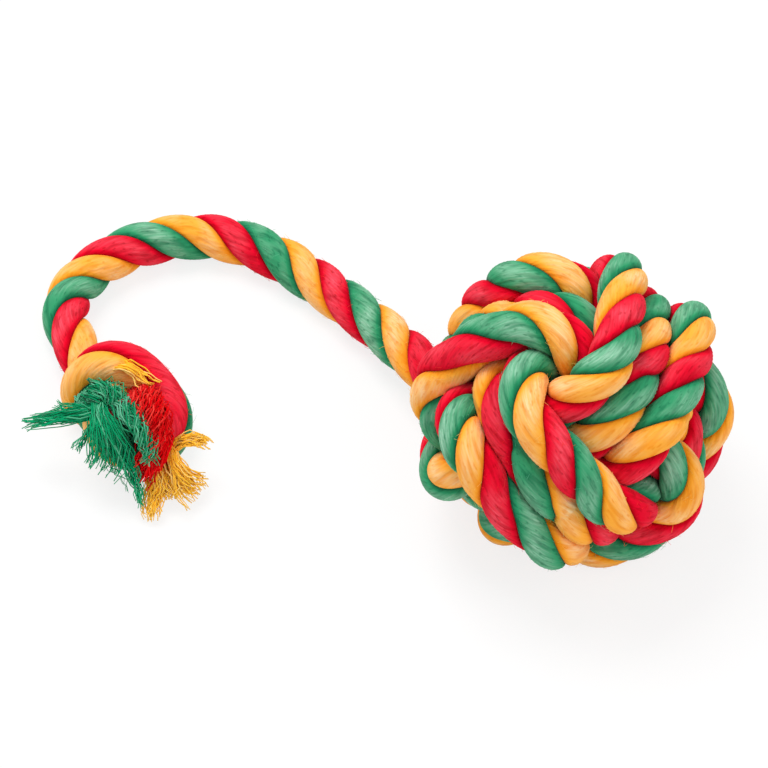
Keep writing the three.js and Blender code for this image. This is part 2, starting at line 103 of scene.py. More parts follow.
# The knot: its middle and turn, a loose trefoil's size and height, the gap between its ends in
# degrees, and where and which way the rope leaves it.
KNOT_CENTRE = (-107.5, 20.0, 9.8)
KNOT_TURN = (-20.0, 0.0, 120.0)
KNOT_LOOSE = 0.48
KNOT_WAVE = 1.1
KNOT_MOUTH = 51.6
KNOT_POINTS = 25
KNOT_EXIT = (-109.0, 10.0, 17.0)
KNOT_EXIT_WAY = (-0.2, -0.75, 0.5)

# Twist of the rope in degrees, at places along it in millimetres, read where its colours show.
TWISTS = (
    (112, 46), (136, 300), (313, 2456), (330, 2582), (344, 2698), (357, 2818), (506, 4706),
    (514, 4830), (524, 4957), (540, 5076), (555, 5196), (621, 6110), (640, 6234), (654, 6350),
    (844, 8646), (852, 8760), (1038, 11038), (1050, 11158), (1223, 13213), (1230, 13330),
    (1241, 13447), (1250, 13567), (1410, 15250), (1420, 15370), (1428, 15492), (1438, 15608),
    (1598, 17435), (1608, 17552), (1620, 17671), (1630, 17778), (1637, 17897), (1758, 19319),
    (1770, 19435), (1782, 19549), (1792, 19670), (1802, 19791), (1814, 19909), (1823, 20029),
    (1833, 20136), (1844, 20275), (1856, 20415), (1864, 20538), (1874, 20669), (1886, 20797),
    (1926, 21227), (1936, 21318), (1952, 21366),
    (1970, 21452), (1984, 21533), (2020, 21950),
)
TWIST_EASE = 4.0
# Inside the ball the green and yellow strands change places, between these two marks.
CHANGE_OVER = (1651.0, 1667.0)
# Each strand's angle in the rope before and after that change, and how far out it is moved
# meanwhile, in rope diameters. Both thin by the share below.
STRANDS = {"red": (60, 60, 0), "green": (300, 180, 0.08), "yellow": (180, 300, -0.17)}
CHANGE_SHRINK = 0.4

# How the rope is drawn tight, as the solids' rope is.
EASE_ROUNDS = 300
EASE_SMOOTH = 0.02
SEARCH_ROUNDS = 10
SEARCH_SHARE = 1.5
SAME_TURN_SHARE = 1.45
SHORTEN = 0.9995

# Where the rope's thickness changes, before and after the start and the end of the tail.
FIST_EASE = 6
KNOT_EASE = (2, 8)

# A strand's outline in a rope of diameter 1: its middle, its reach round the rope in degrees, how
# deep its edges lie below its crown, how steeply it falls to them, and its foot and walls inside.
STRAND_MIDDLE = 0.28
STRAND_REACH = 59.7
GROOVE = 0.13
SHOULDER = 0.06
FOOT = 0.03
WALL_FOOT = 0.12
WALL_POINTS = 3

# Ring spacing and outline points of the strands' skins, where the rope is free and in the ball.
FREE_SKIN = (0.6, 17)
BALL_SKIN = (0.8, 15)
# How far apart pressed skins stay, from each other, from the floor and from the core.
TOUCH_GAP = 0.04
FLOOR_GAP = 0.02
CORE_ROOM = 0.8
NEAR = 15.0

# Loose fibres on each strand of the ball, the tail and the knot, which has none near its end.
BALL_FIBRES = 1500
TAIL_FIBRES = 220
KNOT_FIBRES = 160
BARE_END = 12
# A fibre's half thickness and how much of that it loses, its least reach and what is added to
# it, how far it leans over, how deep its root lies, the least height of its root and of the rest
# of it, and how far out the skin lies where it is free, in rope diameters.
FIBRE_HALF = 0.045
FIBRE_THINNER = 0.4
FIBRE_REACH = (0.45, 1.0)
FIBRE_LEAN = 1.4
FIBRE_ROOT = 0.15
FIBRE_LOW = (1.0, 0.2)
FREE_SHARE = 0.43

# The yarns of a lock hang together in wisps, which part from one another towards their tips:
# yarns to a wisp, and how far a yarn's tip keeps to its wisp.
WISP_YARNS = 4
WISP_SHARE = 0.6
# Shares of a lock's length by which a wisp and a yarn may end early and a yarn may start late,
# the share of its thickness that a yarn loses, and its least height over the floor.
WISP_SHORTER = 0.17
YARN_SHORTER = 0.1
YARN_START = 0.05
YARN_THINNER = 0.45
YARN_LOW = 0.1
# How far a yarn sways, and its half waves to the side and upward, slow and fast.
WAVE = 0.7
SIDE_WAVES = (2.1, 5.3)
LIFT_WAVES = (2.4, 6.1)
# Turns of a curled yarn: the least, and what is added to them.
COIL_TURNS = (2.5, 1.5)
# A direction that no yarn runs along.
ASIDE = (0.83, 0.21, 0.52)

# Folds on the core, in metres.
FOLD_WIDTH = 1 / 260
FOLD_HEIGHT = 0.0005

# The camera: what it looks at, from the ball's middle, and its height in degrees.
CAMERA_AIM = (-0.0459, 0.0053, 0.0041)
CAMERA_HEIGHT = 52
CAMERA_DISTANCE = 2.5
CAMERA_LENS = 484
# Lamps: name, place, size and power.
LAMPS = (("key", (-0.35, 0.45, 1.2), 0.7, 12.0), ("fill", (0.7, -0.6, 0.9), 1.0, 4.0))
WORLD_LIGHT = 0.62
FLOOR_WHITE = 0.8

# The frayed locks of each strand: name, yarns, a yarn's half thickness, curl, and the points that
# the lock follows, each with its half width and half height. Millimetres in the solids' own frame.
FRAYS = {
    "green": (
        ("body", 190, 0.21, 0.55, (
            (-114.2, 28.1, 9, 4.5, 1.5), (-115.6, 18.0, 16.5, 4.6, 2.4),
            (-115.9, 10.7, 19.5, 2.4, 1.8), (-113.7, 5.2, 18, 6.0, 3), (-112.5, 3.2, 12, 8.8, 4),
            (-113.2, 1.8, 7, 9.2, 4),)),
        ("spray", 84, 0.2, 0.25, (
            (-114.4, 21.7, 14, 3, 2), (-115.6, 12.3, 19, 2, 1.5), (-119.5, 10.9, 18.5, 2.4, 1.8),
            (-124.8, 11.5, 17, 3.0, 1.8), (-129.3, 11.7, 15.5, 2.6, 1.5),
            (-135.2, 11.2, 15, 2.2, 1.0),)),
        ("spikes", 14, 0.17, 0.2, (
            (-114.9, 15.9, 17.5, 1.5, 1), (-116.6, 11.6, 19.5, 1.2, 1),
            (-120.0, 12.6, 19.5, 1.5, 1), (-123.8, 13.3, 19, 1.6, 1), (-126.9, 14.2, 19, 1.4, 1),)),
        ("sprig", 16, 0.17, 0.3, (
            (-115.1, 13.7, 18, 1, 1), (-116.6, 9.5, 18, 1, 1), (-118.3, 7.4, 16, 1.2, 1),
            (-120.0, 5.3, 14, 1.5, 1), (-120.9, 3.0, 13, 1.2, 0.8),)),
        ("puff", 110, 0.19, 1.4, (
            (-118.8, 19.6, 13, 1.5, 1.5), (-118.0, 16.2, 19, 3.2, 1.8),
            (-114.2, 17.0, 21, 3.4, 1.8), (-111.1, 15.6, 19.5, 2.8, 1.6),
            (-109.2, 13.6, 17, 2, 1.4),)),
        ("curls", 60, 0.19, 1.3, (
            (-113.2, 18.2, 17, 3, 1.5), (-108.9, 11.2, 20.5, 3, 1.5), (-104.8, 6.2, 19, 2.8, 1.6),
            (-102.9, 2.8, 16, 2.4, 1.6), (-103.4, -0.3, 12.5, 2, 1.4),)),
        ("lower", 30, 0.18, 0.3, (
            (-112.7, 7.8, 17, 3, 2), (-108.9, 2.4, 13, 3, 2), (-106.5, -1.0, 8, 1.8, 1.4),
            (-105.5, -4.3, 5.5, 1.4, 1.1), (-105.0, -7.7, 4, 1.2, 0.9),)),
        ("threads", 4, 0.1, 0.6, (
            (-113.2, 3.4, 14, 2, 1), (-111.8, 1.1, 10, 2, 1), (-109.4, -0.9, 7, 1.5, 1),
            (-107.5, -2.3, 5, 1, 1),)),
    ),
    "red": (
        ("fluff", 130, 0.2, 1.5, (
            (-106.9, 21.4, 15, 2.5, 1.5), (-103.8, 15.4, 20, 4.2, 1.8), (-102.3, 9.6, 20, 4.6, 2.2),
            (-102.0, 6.0, 17, 4.4, 2.4), (-102.6, 3.4, 13, 4.0, 2.4),)),
        ("mass", 150, 0.21, 0.8, (
            (-104.8, 22.3, 14, 3.5, 1.5), (-103.4, 13.3, 18.5, 5.2, 2),
            (-102.2, 7.4, 17.5, 5.6, 2.5), (-102.6, 3.8, 13.5, 5.2, 3), (-104.3, 1.2, 9, 4.6, 3),
            (-106.0, -1.1, 5, 3.6, 2),)),
        ("side", 50, 0.2, 0.3, (
            (-100.2, 11.5, 13, 2.5, 1.5), (-99.5, 6.8, 12, 3, 2), (-99.3, 4.3, 9, 2.8, 2),
            (-99.8, 2.0, 6.5, 2.4, 1.6),)),
    ),
    "yellow": (
        ("comb", 13, 0.26, 0.05, (
            (-112.3, 25.8, 19, 2.2, 0.6), (-109.1, 23.3, 21.8, 2.8, 0.5),
            (-106.2, 22.5, 20.8, 3.4, 0.5), (-104.1, 21.2, 19.4, 4, 0.5),
            (-102.4, 19.2, 18, 4.6, 0.5),)),
        ("curl", 50, 0.2, 0.15, (
            (-99.8, 5.9, 7, 1.2, 1.2), (-97.8, 7.2, 10, 1.8, 1.4), (-94.5, 8.0, 12.5, 2.3, 1.5),
            (-90.6, 8.0, 12.5, 2.4, 1.5), (-88.0, 6.0, 11.5, 1.9, 1.2),)),
        ("strip", 100, 0.2, 0.2, (
            (-99.8, 9.2, 9, 1.2, 1), (-97.8, 5.8, 11, 1.3, 1), (-96.9, 2.9, 10, 1.9, 1.2),
            (-95.2, 0.6, 7.5, 3.6, 1.8), (-92.8, -0.8, 5, 5.6, 2), (-90.6, -1.9, 3.2, 6.6, 2),)),
        ("skirt", 100, 0.2, 0.3, (
            (-100.7, 7.1, 7, 2.5, 2), (-99.3, 1.6, 7, 4.4, 2.4), (-98.3, -1.4, 4.6, 6.4, 2.4),
            (-97.8, -3.7, 2.8, 7.4, 1.8),)),
        ("end", 44, 0.2, 0.2, (
            (-101.7, 1.1, 6, 2.4, 1.6), (-102.4, -2.3, 4.2, 2.8, 1.5),
            (-103.1, -5.8, 2.8, 3.2, 1.3), (-103.4, -9.1, 1.9, 3.2, 1),)),
    ),
}


def linear(text):
    """Colour of an sRGB hex string, in linear light."""
    parts = [int(text[k:k + 2], 16) / 255 for k in (0, 2, 4)]
    return (*(c / 12.92 if c <= 0.04045 else ((c + 0.055) / 1.055) ** 2.4 for c in parts), 1.0)


def colour_property(name, description, default):
    return bpy.props.FloatVectorProperty(
        name=name, description=description, subtype="COLOR", size=3, min=0, max=1,
        default=linear(default)[:3])


class RopeToySettings(bpy.types.PropertyGroup):
    """Sizes and colours of the toy."""
    tail_diameter: bpy.props.FloatProperty(
        name="Tail diameter", description="Thickness of the rope where it lies free",
        default=0.0116, min=0.001, unit="LENGTH")
    fist_diameter: bpy.props.FloatProperty(
        name="Ball rope diameter", description="Thickness of the rope in the ball",
        default=0.012, min=0.001, unit="LENGTH")
    knot_diameter: bpy.props.FloatProperty(
        name="Knot rope diameter", description="Thickness of the rope in the end knot",
        default=0.0112, min=0.001, unit="LENGTH")
    pitch: bpy.props.FloatProperty(
        name="Lay", description="Length in which a strand goes once round the rope",
        default=0.031, min=0.005, unit="LENGTH")
    red: colour_property("Red", "Colour of the red strand", "e6042a")
    green: colour_property("Green", "Colour of the green strand", "2f9666")
    yellow: colour_property("Yellow", "Colour of the yellow strand", "ffac36")
    frayed_red: colour_property(
        "Frayed red", "Colour of the red strand's frayed end", "f6000e")
    frayed_green: colour_property(
        "Frayed green", "Colour of the green strand's frayed end", "00a068")
    frayed_yellow: colour_property(
        "Frayed yellow", "Colour of the yellow strand's frayed end", "ffc83e")
    floor: colour_property("Floor", "Colour of the floor", "f3f3f3")


def settings():
    return bpy.context.scene.rope_toy


def turned(points, turn):
    """Rotates points about the fixed X axis, then Y, then Z."""
    x, y, z = (math.radians(angle) for angle in turn)
    about_x = np.array([[1, 0, 0], [0, math.cos(x), -math.sin(x)], [0, math.sin(x), math.cos(x)]])
    about_y = np.array([[math.cos(y), 0, math.sin(y)], [0, 1, 0], [-math.sin(y), 0, math.cos(y)]])
    about_z = np.array([[math.cos(z), -math.sin(z), 0], [math.sin(z), math.cos(z), 0], [0, 0, 1]])
    return np.asarray(points, float) @ (about_z @ about_y @ about_x).T


def unit(vectors):
    return vectors / np.linalg.norm(vectors, axis=-1, keepdims=True)


def running(points):
    return np.concatenate([[0.0], np.cumsum(np.linalg.norm(np.diff(points, axis=0), axis=1))])


def at_lengths(points, targets):
    sums = running(points)
    return np.stack([np.interp(targets, sums, points[:, k]) for k in range(3)], axis=1)


def even_points(points, count):
    return at_lengths(points, np.linspace(0, running(points)[-1], count))


def smooth_route(points, per_span=24):
    """Centripetal Catmull-Rom curve through the points."""
    points = np.asarray(points, float)
    padded = np.vstack([2 * points[0] - points[1], points, 2 * points[-1] - points[-2]])
    p = [padded[k:len(padded) - 3 + k, None, :] for k in range(4)]
    knots = [np.zeros((len(points) - 1, 1, 1))]
    for k in range(3):
        knots.append(knots[k] + np.sqrt(np.linalg.norm(p[k + 1] - p[k], axis=2, keepdims=True)))
    t0, t1, t2, t3 = knots
    t = t1 + (t2 - t1) * np.linspace(0, 1, per_span, endpoint=False)[None, :, None]
    a1 = (t1 - t) / (t1 - t0) * p[0] + (t - t0) / (t1 - t0) * p[1]
    a2 = (t2 - t) / (t2 - t1) * p[1] + (t - t1) / (t2 - t1) * p[2]
    a3 = (t3 - t) / (t3 - t2) * p[2] + (t - t2) / (t3 - t2) * p[3]
    b1 = (t2 - t) / (t2 - t0) * a1 + (t - t0) / (t2 - t0) * a2
    b2 = (t3 - t) / (t3 - t1) * a2 + (t - t1) / (t3 - t1) * a3
    curve = (t2 - t) / (t2 - t1) * b1 + (t - t1) / (t2 - t1) * b2
    return np.vstack([curve.reshape(-1, points.shape[1]), points[-1:]])


def draw_tight(loose, spacing, centre, rounds, pull, smooth, reach, floor, pins, core=0.0):
    """Draws a loose rope tight: it shrinks, stays smooth and even, and keeps its turns apart."""
    p = np.array(loose, float)
    count = len(p)
    pinned = p.copy()
    centre = np.array(centre, float)
    rest = POINT_STEP
    first, second = np.triu_indices(count, 1)
    a = b = np.zeros(0, int)
    for turn in range(rounds + EASE_ROUNDS):
        easing = turn >= rounds
        if turn % SEARCH_ROUNDS == 0:
            apart = second - first >= int(spacing * SAME_TURN_SHARE / rest) + 1
            a, b = first[apart], second[apart]
            near = ((p[a] - p[b]) ** 2).sum(axis=1) < (spacing * SEARCH_SHARE) ** 2
            a, b = a[near], b[near]
        if not easing:
            p += (centre - p) * pull
        before = p.copy()
        share = EASE_SMOOTH if easing else smooth
        middle = (before[:-2 * reach] + before[2 * reach:]) / 2
        p[reach:-reach] += share * (middle - before[reach:-reach])
        rest = np.linalg.norm(np.diff(p, axis=0), axis=1).mean() * (1 if easing else SHORTEN)
        for parity in (1, 0):
            step = np.diff(p, axis=0)[parity::2]
            length = np.linalg.norm(step, axis=1)
            change = (0.5 * (length - rest) / length)[:, None] * step
            k = np.arange(parity, count - 1, 2)
            p[k] += change
            p[k + 1] -= change
        for _ in range(2):
            way = p[a] - p[b]
            gap = np.linalg.norm(way, axis=1)
            hit = gap < spacing
            push = way[hit] * (0.5 * (spacing - gap[hit]) / gap[hit])[:, None]
            shift = np.zeros_like(p)
            touches = np.zeros(count)
            np.add.at(shift, a[hit], push)
            np.add.at(shift, b[hit], -push)
            np.add.at(touches, a[hit], 1)
            np.add.at(touches, b[hit], 1)
            p += shift / np.maximum(1, touches * 0.5)[:, None]
        away = p - centre
        radius = np.linalg.norm(away, axis=1)
        low = radius < core
        p[low] = centre + away[low] * (core / radius[low])[:, None]
        p[:, 2] = np.maximum(p[:, 2], floor)
        p[:pins[0]] = pinned[:pins[0]]
        p[count - pins[1]:] = pinned[count - pins[1]:]
    return p


def band_turn(start, end, count=len(TURN)):
    steps = STEPS_OVER + (1,) * len(TURN)
    return [(x, y, start + (end - start) * steps[i]) for i, (x, y) in enumerate(TURN[:count])]


def change_ways(side):
    return [(x, y, across * side) for x, y, across in CHANGE]


def fist_ways():
    """Way points of the loose monkey's fist: three bands of three turns, in rope thicknesses."""
    last = len(TURN) - 1
    first = [START, *band_turn(0, LANE)[3:], *band_turn(LANE, 0), *band_turn(0, -LANE, last),
             *change_ways(-1)]
    third = [*band_turn(-ENTRY, -LANE), *band_turn(-LANE, 0), *band_turn(0, LANE, last)]
    second = [*third, *change_ways(1)]
    return [*first, *((z, x, y) for x, y, z in second), *((-y, z, x) for x, y, z in third)]


def straight_run(start, way, length):
    return np.asarray(start) + np.outer(np.linspace(0, length, STRAIGHT_POINTS), way)


def points_along(length):
    return math.ceil(length / POINT_STEP) + 1


def ball_centre():
    return np.array(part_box("core_ball")).mean(axis=0) / MM


def frame_shift():
    """From the places in this script to those in the frame."""
    return ball_centre() - BALL_CENTRE


@functools.lru_cache(maxsize=1)
def rope_paths():
    """Centre lines of the winding, the tail and the knot, in millimetres in the toy's frame."""
    route = np.array(TAIL_ROUTE)
    tail = smooth_route(route)
    fine = smooth_route(route, END_POINTS)
    exit_way = unit(fine[1] - fine[0])
    knot_way = unit(fine[-1] - fine[-2])
    leave = route[0] - exit_way * SEAT_GAP
    ways = turned(np.array(fist_ways()) * FIST_SPACING, BALL_TURN) + BALL_CENTRE
    ways = np.vstack([ways, straight_run(leave, exit_way, -FIST_ROPE_D)[::-1]])
    loose = smooth_route(ways)
    loose = even_points(loose, round(SLACK * running(loose)[-1] / POINT_STEP))
    lead = at_lengths(tail, POINT_STEP * np.arange(1, LEAD_POINTS + 1))
    fist = draw_tight(
        np.vstack([loose, lead]), FIST_SPACING, BALL_CENTRE, rounds=700, pull=0.006, smooth=0.1,
        reach=3, floor=FIST_ROPE_D * (0.5 - FLAT_SHARE),
        pins=(0, points_along(FIST_ROPE_D) + LEAD_POINTS),
        core=(CORE_D + FIST_ROPE_D) / 2 + CORE_GAP)[:-LEAD_POINTS]
    enter = route[-1] + knot_way * SEAT_GAP
    end_way = unit(np.array(KNOT_EXIT_WAY))
    share = np.linspace(0, 1, KNOT_POINTS)
    angle = np.radians(180 + KNOT_MOUTH / 2 + (360 - KNOT_MOUTH) * share)
    trefoil = np.stack([
        np.sin(angle) + 2 * np.sin(2 * angle),
        np.cos(angle) - 2 * np.cos(2 * angle),
        KNOT_WAVE * np.sin(3 * angle)], axis=1) * KNOT_SPACING * KNOT_LOOSE
    ways = np.vstack([
        straight_run(enter, knot_way, KNOT_ROPE_D),
        turned(trefoil, KNOT_TURN) + KNOT_CENTRE,
        straight_run(np.array(KNOT_EXIT), end_way, -KNOT_ROPE_D)[::-1]])
    loose = smooth_route(ways, 8)
    loose = even_points(loose, round(running(loose)[-1] / POINT_STEP))
    knot = draw_tight(
        loose, KNOT_SPACING, KNOT_CENTRE, rounds=500, pull=0.01, smooth=0.05, reach=2,
        floor=KNOT_ROPE_D * (0.5 - FLAT_SHARE),
        pins=(points_along(KNOT_ROPE_D), points_along(KNOT_ROPE_D)))
    shift = frame_shift()
    return fist + shift, tail + shift, knot + shift


class Rope:
    """The whole rope, with its thickness and twist, sampled evenly along its length."""
    STEP = 0.5
    SMOOTHING = 3.5
    SMOOTHING_REACH = 10
    MARGIN = 50

    def __init__(self):
        fist, tail, knot = rope_paths()
        joined = np.vstack([fist, tail, knot])
        self.marks = np.cumsum([running(fist)[-1], running(np.vstack([fist[-1:], tail]))[-1],
                                running(np.vstack([tail[-1:], knot]))[-1]])
        total = self.marks[-1]
        self.s = np.arange(0, total, self.STEP)
        rough = at_lengths(joined, self.s)
        reach = self.SMOOTHING_REACH
        kernel = np.exp(-0.5 * (np.arange(-reach, reach + 1) / self.SMOOTHING) ** 2)
        kernel /= kernel.sum()
        padded = np.vstack([2 * rough[:1] - rough[reach:0:-1], rough,
                            2 * rough[-1:] - rough[-2:-2 - reach:-1]])
        self.p = np.stack([np.convolve(padded[:, k], kernel, "valid") for k in range(3)], axis=1)
        self.t = unit(np.gradient(self.p, axis=0))
        normal = np.array([self.t[0][1], self.t[0][2], self.t[0][0]])
        self.n = np.zeros_like(self.p)
        for i, tangent in enumerate(self.t):
            normal = unit(normal - tangent * (normal @ tangent))
            self.n[i] = normal
        self.b = np.cross(self.t, self.n)
        sizes = settings()
        eases = [self.marks[0] - FIST_EASE, self.marks[0] + FIST_EASE,
                 self.marks[1] - KNOT_EASE[0], self.marks[1] + KNOT_EASE[1]]
        diameters = [sizes.fist_diameter, sizes.tail_diameter,
                     sizes.tail_diameter, sizes.knot_diameter]
        self.d = np.interp(self.s, eases, np.array(diameters) / MM)
        places, twists = np.array(TWISTS, float).T
        rate = 360 * MM / sizes.pitch
        places = np.concatenate([[-self.MARGIN], places, [total + self.MARGIN]])
        twists = np.concatenate([[twists[0] - rate * (places[1] - places[0])], twists,
                                 [twists[-1] + rate * (places[-1] - places[-2])]])
        offsets = np.linspace(-2 * TWIST_EASE, 2 * TWIST_EASE, 17)
        weights = np.exp(-0.5 * (offsets / TWIST_EASE) ** 2)
        eased = sum(w * np.interp(self.s + o, places, twists) for w, o in zip(weights, offsets))
        self.twist = eased / weights.sum()

    def at(self, s):
        """Middle, two directions across, diameter and twist of the rope at those places."""
        p, n, b = (np.stack([np.interp(s, self.s, values[:, k]) for k in range(3)], axis=1)
                   for values in (self.p, self.n, self.b))
        return p, unit(n), unit(b), np.interp(s, self.s, self.d), np.interp(s, self.s, self.twist)


@functools.lru_cache(maxsize=1)
def rope():
    return Rope()


@functools.lru_cache(maxsize=None)
def section(sides):
    """Outline of a strand in a rope of diameter 1, from its foot round: x, y and crown."""
    share = np.sin(np.linspace(-0.5, 0.5, sides) * np.pi)
    edge = math.sqrt(SHOULDER)
    height = (np.sqrt(1 - (1 - SHOULDER) * share ** 2) - edge) / (1 - edge)
    radius = 0.5 - GROOVE * (1 - height)
    angle = np.radians(STRAND_REACH) * share
    wall = np.linspace(WALL_FOOT, radius[0], WALL_POINTS + 1)[:-1]
    radius = np.concatenate([[FOOT], wall, radius, wall[::-1]])
    angle = np.concatenate([[0], np.pad(angle, WALL_POINTS, "edge")])
    height = np.pad(height, (WALL_POINTS + 1, WALL_POINTS))
    return radius * np.cos(angle), radius * np.sin(angle), height


def strand_skin(colour, s, sides):
    """Points of one strand's skin, a ring of them at every place along the rope."""
    p, n, b, d, twist = rope().at(s)
    before, after, lift = STRANDS[colour]
    share = np.clip((s - CHANGE_OVER[0]) / (CHANGE_OVER[1] - CHANGE_OVER[0]), 0, 1)
    share = share * share * (3 - 2 * share)
    angle = before + (after - before) * share
    crossing = np.sin(np.pi * share)[:, None] * (before != after)
    x, y, height = section(sides)
    size = 1 - CHANGE_SHRINK * crossing
    x = (STRAND_MIDDLE + lift * crossing + (x - STRAND_MIDDLE) * size) * d[:, None]
    y = y * size * d[:, None]
    theta = np.radians(twist + angle)[:, None]
    across = x * np.cos(theta) - y * np.sin(theta)
    up = x * np.sin(theta) + y * np.cos(theta)
    skin = p[:, None] + across[..., None] * n[:, None] + up[..., None] * b[:, None]
    return keep_apart(skin, s, p, d), np.broadcast_to(height, x.shape)


def keep_apart(skin, s, p, d):
    """Presses the skin flat where another turn, the core or the floor lies against it."""
    other = rope()
    # Every fourth place of the rope, 2 mm apart, is enough to find what lies near.
    q, qs, qd = other.p[::4], other.s[::4], other.d[::4]
    for i in range(len(s)):
        near = ((np.abs(qs - s[i]) > SAME_TURN_SHARE * d[i])
                & (((q - p[i]) ** 2).sum(axis=1) < NEAR ** 2))
        if not near.any():
            continue
        way = q[near] - p[i]
        gap = np.linalg.norm(way, axis=1)
        way /= gap[:, None]
        limit = gap * d[i] / (d[i] + qd[near]) - TOUCH_GAP
        for _ in range(2):
            over = (skin[i] - p[i]) @ way.T - limit
            worst = over.argmax(axis=1)
            amount = np.maximum(over[np.arange(len(over)), worst], 0)
            skin[i] -= amount[:, None] * way[worst]
    centre = ball_centre()
    away = skin - centre
    radius = np.linalg.norm(away, axis=2, keepdims=True)
    room = CORE_D / 2 + CORE_ROOM
    skin = np.where(radius < room, centre + away / radius * room, skin)
    skin[..., 2] = np.maximum(skin[..., 2], FLOOR_GAP)
    return skin


def add_object(name, data):
    made = bpy.data.objects.new(name, data)
    bpy.context.scene.collection.objects.link(made)
    return made


def smoothed(bm, name):
    """Smooth-shaded mesh of what the BMesh holds, which is freed."""
    for face in bm.faces:
        face.smooth = True
    mesh = bpy.data.meshes.new(name)
    bm.to_mesh(mesh)
    bm.free()
    return mesh


def skin_object(name, skin, values, lengths, widths, material):
    """Closed tube: a grid laid over the rings of points, its seam welded and its ends filled."""
    along, around = skin.shape[:2]
    bm = bmesh.new()
    bm.loops.layers.uv.new("UVMap")
    bmesh.ops.create_grid(bm, x_segments=along - 1, y_segments=around, size=1, calc_uvs=True)
    mesh = bpy.data.meshes.new("grid")
    bm.to_mesh(mesh)
    bm.free()
    place = np.zeros(len(mesh.vertices) * 3)
    mesh.vertices.foreach_get("co", place)
    place = place.reshape(-1, 3)
    i = np.rint((place[:, 0] + 1) / 2 * (along - 1)).astype(int)
    j = np.rint((place[:, 1] + 1) / 2 * around).astype(int)
    mesh.vertices.foreach_set("co", (skin[i, j % around] * MM).ravel())
    attribute = mesh.attributes.new("crown", "FLOAT", "POINT")
    attribute.data.foreach_set("value", values[i, j % around])
    layer = mesh.uv_layers[0].data
    uv = np.zeros(len(layer) * 2)
    layer.foreach_get("uv", uv)
    uv = uv.reshape(-1, 2)
    uv[:, 0] = np.interp(uv[:, 0] * (along - 1), np.arange(along), lengths)
    uv[:, 1] = np.interp(uv[:, 1] * around, np.arange(around + 1), widths)
    layer.foreach_set("uv", uv.ravel())
    bm = bmesh.new()
    bm.from_mesh(mesh)
    bm.verts.ensure_lookup_table()
    first = {int(a): k for k, (a, b) in enumerate(zip(i, j)) if b == 0}
    weld = {bm.verts[k]: bm.verts[first[int(a)]]
            for k, (a, b) in enumerate(zip(i, j)) if b == around}
    bmesh.ops.weld_verts(bm, targetmap=weld)
    rim = [edge for edge in bm.edges if edge.is_boundary]
    caps = bmesh.ops.holes_fill(bm, edges=rim, sides=0)["faces"]
    for edge in rim:
        edge.smooth = False
    if len(caps) != 2:
        raise RuntimeError(f"{name} has {len(caps)} ends")
    bmesh.ops.recalc_face_normals(bm, faces=bm.faces)
    bpy.data.meshes.remove(mesh)
    mesh = smoothed(bm, name)
    mesh.materials.append(material)
    return add_object(name, mesh)


def strand(name, colour, start, end, step, sides):
    s = np.linspace(start, end, max(2, round((end - start) / step) + 1))
    skin, crown = strand_skin(colour, s, sides)
    x, y, _ = section(sides)
    widths = running(np.stack([np.append(x, x[0]), np.append(y, y[0])], axis=1))
    widths *= settings().tail_diameter / MM
    return skin_object(name, skin, crown, s, widths, cotton(colour))


def socket(sockets, key):
    """The socket of that name that is in use: a Mix node has one for every kind of data."""
    return next(found for found in sockets if found.name == key and found.enabled)


def node(tree, kind, options=None, inputs=None, links=None):
    """Adds a node, sets its own options and socket values, and links sockets into it."""
    made = tree.nodes.new(kind)
    for key, value in (options or {}).items():
        setattr(made, key, value)
    for key, value in (inputs or {}).items():
        socket(made.inputs, key).default_value = value
    for key, source in (links or {}).items():
        tree.links.new(source, socket(made.inputs, key))
    return made


def maths(tree, operation, *terms):
    """Adds a Math node over sockets and plain numbers."""
    made = node(tree, "ShaderNodeMath", {"operation": operation})
    for entry, term in zip(made.inputs, terms):
        if isinstance(term, float):
            entry.default_value = term
        else:
            tree.links.new(term, entry)
    return made.outputs["Value"]


def ranged(tree, value, low, high, least=0.0, most=1.0):
    """Adds a Map Range node that turns low to high into least to most, and no further."""
    return node(tree, "ShaderNodeMapRange",
                inputs={"From Min": low, "From Max": high, "To Min": least, "To Max": most},
                links={"Value": value}).outputs["Result"]


def mixed(tree, factor, a, b):
    """Adds a Mix node between two colours, each a value or a socket."""
    values = {key: term for key, term in (("A", a), ("B", b)) if isinstance(term, tuple)}
    links = {key: term for key, term in (("A", a), ("B", b)) if key not in values}
    made = node(tree, "ShaderNodeMix", {"data_type": "RGBA"}, values, {"Factor": factor, **links})
    return socket(made.outputs, "Result")


def new_material(name):
    material = bpy.data.materials.new(name)
    material.use_nodes = True
    return material, material.node_tree, material.node_tree.nodes["Principled BSDF"]


def dyed(name):
    return (*getattr(settings(), name), 1.0)


# Painted light on the cotton: the colour of painted shade in the creases and at the roots of frayed
# yarns, and the pale of a painted highlight on the pile.
COTTON_SHADE_AND_HIGHLIGHT = {
    "red": ("a0000c", "ff6474"), "green": ("0b6040", "b4dfc4"), "yellow": ("ee8200", "ffe6bc")}
FRAYED_SHADE_AND_HIGHLIGHT = {
    "red": ("b00008", "ff6456"), "green": ("005c3c", "98e0c2"), "yellow": ("ffae18", "ffeab0")}


